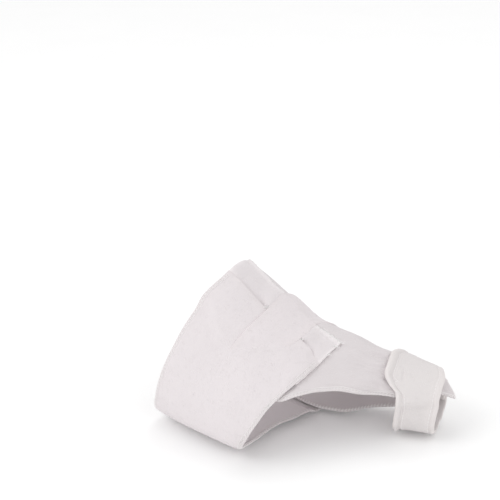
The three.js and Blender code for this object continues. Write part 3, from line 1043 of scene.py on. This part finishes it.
def toe_strap():
    end = TOE_STRAP_START + 360 + toe_turn(TOE_STRAP_LAP)
    front_on_top = float(toe_strap_front(np.float64(90)))
    even = even_turns(front_on_top - TOE_STRAP_WIDTH / 2, TOE_STRAP_START, end)

    def place(u, v):
        turn = mix(TOE_STRAP_START, end, even(u))
        return toe_strap_front(turn) - (1 - v) * toe_strap_width(turn), turn

    def thick(u, v):
        off_edge = np.minimum(v * TOE_STRAP_BREADTH + 2, (1 - v) * TOE_STRAP_BREADTH)
        return TOE_STRAP_THICK * squeezed(off_edge)

    def relief(u, v, x, turn):
        rolled = ridges(v * TOE_STRAP_BREADTH, TOE_STRAP_ROLL)
        hem = ridges((1 - v) * TOE_STRAP_BREADTH, TOE_STRAP_HEM)
        soft = swells(x, turn * TOE_SWELL_TURN, TOE_STRAP_SWELLS)
        folds = 0
        for height, middle, reach, start, run, low, high in TOE_FOLDS:
            off_fold = v - mix(low, high, (turn - start) / run)
            folds = folds + height * bump(turn - middle, reach) * bump(off_fold, TOE_FOLD_WIDTH)
        return rolled + hem + folds + soft

    def inner(x, turn, u, v):
        return toe_strap_inner(x, turn, v)

    return ClothPiece(place, inner, thick, relief, TOE_STRAP_SHEET)


# Materials


class Signal:
    """A shader socket that takes arithmetic."""

    def __init__(self, shader, socket):
        self.shader, self.socket = shader, socket

    def _math(self, operation, first, second):
        node = self.shader.node("ShaderNodeMath", {"operation": operation}, {0: first, 1: second})
        return Signal(self.shader, node.outputs[0])

    def __add__(self, other):
        return self._math("ADD", self, other)

    def __mul__(self, other):
        return self._math("MULTIPLY", self, other)

    __radd__ = __add__
    __rmul__ = __mul__


class Shader:
    def __init__(self, name):
        self.material = bpy.data.materials.new(name)
        self.material.use_nodes = True
        self.tree = self.material.node_tree
        self.surface = self.tree.nodes["Principled BSDF"]

    def node(self, kind, settings=None, inputs=None):
        node = self.tree.nodes.new(kind)
        for key, value in (settings or {}).items():
            setattr(node, key, value)
        for key, value in (inputs or {}).items():
            self.feed(node.inputs[key], value)
        return node

    def feed(self, socket, value):
        if isinstance(value, Signal):
            self.tree.links.new(value.socket, socket)
        else:
            socket.default_value = value

    def coords(self):
        return Signal(self, self.node("ShaderNodeTexCoord").outputs["Object"])

    def noise(self, vector, size, detail=2.0, roughness=0.5):
        """Noise whose features are about size millimetres across."""
        node = self.node("ShaderNodeTexNoise", {}, {
            "Vector": vector, "Scale": 1 / (size * MM), "Detail": detail, "Roughness": roughness,
        })
        return Signal(self, node.outputs[0])

    def ribs(self, width):
        """Knit ribs along the cloth's own length, width millimetres apart."""
        uv = self.node("ShaderNodeUVMap", {"uv_map": "cloth"}).outputs["UV"]
        node = self.node("ShaderNodeTexWave", {"bands_direction": "Y"}, {
            "Vector": Signal(self, uv), "Scale": 0.314 / (width * MM), "Distortion": 1.4,
            "Detail": 2.0, "Detail Scale": 1.5,
        })
        return Signal(self, node.outputs["Fac"])

    def blend(self, factor, first, second):
        node = self.node("ShaderNodeMix", {"data_type": "RGBA"})
        self.feed(node.inputs[0], factor)
        for socket, colour in ((node.inputs[6], first), (node.inputs[7], second)):
            self.feed(socket, colour if isinstance(colour, Signal) else (*colour, 1))
        return Signal(self, node.outputs[2])

    def rim(self):
        """1 on the cloth's rims, falling away over a few millimetres."""
        node = self.node("ShaderNodeAttribute", {"attribute_name": "rim"})
        return Signal(self, node.outputs["Fac"])


# No cloth reflects more than this
LIGHTEST = 0.96

# How the greyed patches of a handled rim tint the cloth
HANDLED = (0.92, 0.905, 0.885)


def shaded(colour, share):
    return tuple(min(share * c, LIGHTEST) for c in colour)


def cloth_material(name, colour, nap_depth=0.5, weave=1.1, edge=1.0):
    """Brushed loop cloth: mottled nap over a fine knit, matt, with rims handled grey in patches;
    an edge above 1 pales the rims: partly paler frayed fibres, partly painted highlight on lit
    edges."""
    shader = Shader(name)
    where = shader.coords()
    blotches = shader.noise(where, 18, 3)
    tufts = shader.noise(where, 1.5, 4, 0.65)
    fibres = shader.noise(where, 0.4, 3, 0.7)
    ribs = shader.ribs(weave)
    tone = blotches * 0.45 + tufts * 0.30 + fibres * 0.15 + ribs * 0.10
    handled = shaded(tuple(c * t for c, t in zip(colour, HANDLED)), edge)
    # Rim colour: handled grey patches (wear) and the cloth scaled by edge; above 1 this scaling is
    # painted highlight on edges that catch the light, with paler frayed fibres
    rims = shader.blend(blotches, handled, shaded(colour, edge))
    middle = shader.blend(tone, shaded(colour, 0.94), shaded(colour, 1.05))
    height = tufts * 0.60 * nap_depth + fibres * 0.35 + ribs * 0.14
    relief = shader.node("ShaderNodeBump", {}, {
        "Strength": 0.45, "Distance": 0.35 * MM, "Height": height,
    })
    surface = shader.surface
    shader.feed(surface.inputs["Base Color"], shader.blend(shader.rim() * 0.85, middle, rims))
    shader.feed(surface.inputs["Roughness"], 0.84 + 0.14 * tufts)
    shader.feed(surface.inputs["Normal"], Signal(shader, relief.outputs["Normal"]))
    surface.inputs["Specular IOR Level"].default_value = 0.25
    surface.inputs["Sheen Weight"].default_value = 0.08
    surface.inputs["Sheen Roughness"].default_value = 0.55
    return shader.material


def thread_material(name, colour, shade=0.86):
    shader = Shader(name)
    twist = shader.noise(shader.coords(), 0.4, 2)
    shader.feed(
        shader.surface.inputs["Base Color"],
        shader.blend(twist, tuple(shade * c for c in colour), colour),
    )
    shader.feed(shader.surface.inputs["Roughness"], 0.55 + 0.2 * twist)
    shader.surface.inputs["Sheen Weight"].default_value = 0.15
    return shader.material


def wear(piece, material, replaced=None):
    piece.data.materials.clear()
    piece.data.materials.append(material)
    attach(piece, "root")
    if replaced:
        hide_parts(replaced)


WRAP_WHITE = (0.743, 0.697, 0.710)
PANEL_WHITE = (0.697, 0.655, 0.664)
STRAP_WHITE = (0.760, 0.711, 0.725)
TAB_WHITE = (0.728, 0.684, 0.696)
TOE_WHITE = (0.707, 0.673, 0.670)
THREAD_WHITE = (0.93, 0.90, 0.90)
# Loose loops are whiter than the cloth they come from: the fibres' own paleness plus painted
# highlight that lifts them out of their own shade
LOOP_WHITE_AND_HIGHLIGHT = (0.97, 0.955, 0.95)

wrap_cloth = cloth_material("wrap brushed cloth", WRAP_WHITE)
# An edge above 1 pales the rims of the panel, tab and toe strap: painted highlight where their
# edges catch the light, with paler frayed fibres
panel_cloth = cloth_material("panel brushed cloth", PANEL_WHITE, nap_depth=0.45, edge=1.08)
strap_cloth = cloth_material("strap brushed cloth", STRAP_WHITE)
tab_cloth = cloth_material("tab cloth", TAB_WHITE, nap_depth=0.7, weave=0.8, edge=1.42)
toe_cloth = cloth_material("toe strap brushed cloth", TOE_WHITE, edge=1.17)
sewing_thread = thread_material("sewing thread", THREAD_WHITE)
pulled_loops_highlighted = thread_material("pulled loops", LOOP_WHITE_AND_HIGHLIGHT, shade=0.97)

panel_piece, band_piece, tab_piece = splint_panel(), instep_band(), hook_tab()
strap_piece, toe_piece = closing_strap(), toe_strap()

# The rim attribute marks where the rim colour shows: handled grey, and on the paler rims painted
# highlight
panel = build_cloth("panel", panel_piece, PANEL_GRID, PANEL_THICK)
band = build_cloth("band", band_piece, BAND_GRID, BAND_THICK)
tab = build_cloth("tab", tab_piece, TAB_GRID, TAB_THICK, end_reach=2.6, side_reach=0.9)
strap = build_cloth("strap", strap_piece, STRAP_GRID, STRAP_THICK)
toe = build_cloth("toe_band", toe_piece, TOE_STRAP_GRID, TOE_STRAP_THICK, side_reach=3.4)

wear(panel, panel_cloth, "splint_panel")
wear(band, wrap_cloth, "instep_wrap")
wear(tab, tab_cloth, "hook_tab")
wear(strap, strap_cloth, "closure_strap")
wear(toe, toe_cloth, "toe_strap")

# Shares u and v where loops are pulled out of the tab and of the band's front edge
TAB_FRAYS = [(0.985, 0.985), (0.96, 0.90), (0.80, 0.992), (0.55, 0.992), (0.985, 0.80)]
BAND_FRAYS = [(0.955, 0.985), (0.915, 0.985), (0.84, 0.985)]
trims = [
    (overlock("band_overlock", band_piece, [("v", 1), ("v", 0), ("u", 0)]), "wrap_cloth"),
    (overlock("panel_overlock", panel_piece, [("u", 1), ("u", 0)]), "panel_cloth"),
    (overlock("tip_overlock", panel_piece, [("v", 1)], bite=1.5), "panel_cloth"),
    (running_stitch("toe_hem_stitch", toe_piece, ("v", 1), TOE_HEM_STITCH), "toe_cloth"),
    (running_stitch("toe_roll_stitch", toe_piece, ("v", 0), TOE_ROLL_STITCH), "toe_cloth"),
    (fringe("tab_fringe", tab_piece, ("u", 1), count=900, length=1.7, seed=11), "tab_cloth"),
    (tufts("corner_tufts", strap_corners(), count=44, seed=12), "strap_cloth"),
    (tufts("tab_tufts", frayed_spots(tab_piece, TAB_FRAYS), count=40, seed=13), "tab_cloth"),
    (tufts("band_tufts", frayed_spots(band_piece, BAND_FRAYS), count=22, seed=14), "wrap_cloth"),
    (nap("band_nap", band_piece, 3600, 1.5, seed=1, u_span=(0.35, 0.995)), "wrap_cloth"),
    (nap("panel_nap", panel_piece, 2600, 1.5, seed=2, v_span=(0.3, 0.98)), "panel_cloth"),
    (nap("strap_nap", strap_piece, 900, 1.4, seed=3), "strap_cloth"),
    (nap("toe_nap", toe_piece, 1000, 1.3, seed=4, rise=0.2), "toe_cloth"),
    (nap("tab_nap", tab_piece, 500, 1.3, seed=5, u_span=(0.5, 0.99)), "tab_cloth"),
]
# Tufts and fringe wear the loop white with its painted highlight; stitches and nap wear the sewing
# thread
for trim, slot_name in trims:
    loose = "tufts" in trim.name or "fringe" in trim.name
    wear(trim, pulled_loops_highlighted if loose else sewing_thread)

# Camera at the photograph's viewing angle
CAMERA_TARGET = Vector((5, 0, 30)) * MM
CAMERA_DISTANCE = 0.8
CAMERA_AZIMUTH = math.radians(32.0)
CAMERA_ELEVATION = math.radians(26.9)
LOOK_AZIMUTH = math.radians(32.15)
LOOK_ELEVATION = math.radians(22.58)
CAMERA_LENS = 101.9
SENSOR_WIDTH = 36


def direction(azimuth, elevation):
    return Vector((
        math.sin(azimuth) * math.cos(elevation),
        -math.cos(azimuth) * math.cos(elevation),
        math.sin(elevation),
    ))


def place_camera():
    data = bpy.data.cameras.new("camera")
    data.lens = CAMERA_LENS
    data.sensor_width = SENSOR_WIDTH
    camera = add_object("camera", data)
    back = direction(LOOK_AZIMUTH, LOOK_ELEVATION)
    right = Vector((math.cos(LOOK_AZIMUTH), math.sin(LOOK_AZIMUTH), 0))
    axes = Matrix((right, back.cross(right), back)).transposed()
    spot = CAMERA_TARGET + CAMERA_DISTANCE * direction(CAMERA_AZIMUTH, CAMERA_ELEVATION)
    camera.matrix_world = Matrix.Translation(spot) @ axes.to_4x4()
    bpy.context.scene.camera = camera


def area_light(name, azimuth, elevation, distance, size, power):
    data = bpy.data.lights.new(name, "AREA")
    data.shape = "DISK"
    data.size = size
    data.energy = power
    light = add_object(name, data)
    away = direction(math.radians(azimuth), math.radians(elevation))
    light.location = CAMERA_TARGET + distance * away
    light.rotation_euler = away.to_track_quat("Z", "Y").to_euler()


# The floor's radius and how far under the cloth it lies, in metres, and the glow that evens it
# out with the backdrop behind it
FLOOR_RADIUS = 6
FLOOR_DROP = 0.0004
FLOOR_GLOW = 0.035
BACKDROP_GLOW = 0.84

# Round lights: azimuth, elevation, distance and size in metres, power in watts
LIGHTS = {
    "key": (-25, 42, 1.6, 1.1, 6.0),
    "fill": (70, 40, 1.8, 1.4, 2.0),
    "back": (180, 60, 1.8, 1.0, 3.0),
}


def make_floor(height):
    bm = bmesh.new()
    bmesh.ops.create_circle(bm, cap_ends=True, segments=96, radius=FLOOR_RADIUS)
    bmesh.ops.translate(bm, verts=bm.verts, vec=(0, 0, height))
    floor = finish_mesh("floor", bm)
    shader = Shader("pale floor")
    grain = shader.noise(shader.coords(), 60, 2)
    surface = shader.surface
    shader.feed(surface.inputs["Base Color"], shader.blend(grain, (0.95,) * 3, (0.97,) * 3))
    surface.inputs["Roughness"].default_value = 0.9
    surface.inputs["Emission Color"].default_value = (1, 1, 1, 1)
    surface.inputs["Emission Strength"].default_value = FLOOR_GLOW
    floor.data.materials.append(shader.material)


def make_world():
    world = bpy.data.worlds.new("studio")
    world.use_nodes = True
    background = world.node_tree.nodes["Background"]
    background.inputs["Color"].default_value = (1, 1, 1, 1)
    background.inputs["Strength"].default_value = BACKDROP_GLOW
    bpy.context.scene.world = world
    bpy.context.scene.view_settings.view_transform = "Standard"


place_camera()
make_world()
for light_name, settings in LIGHTS.items():
    area_light(light_name, *settings)

visual_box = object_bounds()
make_floor(visual_box[0][2] - FLOOR_DROP)
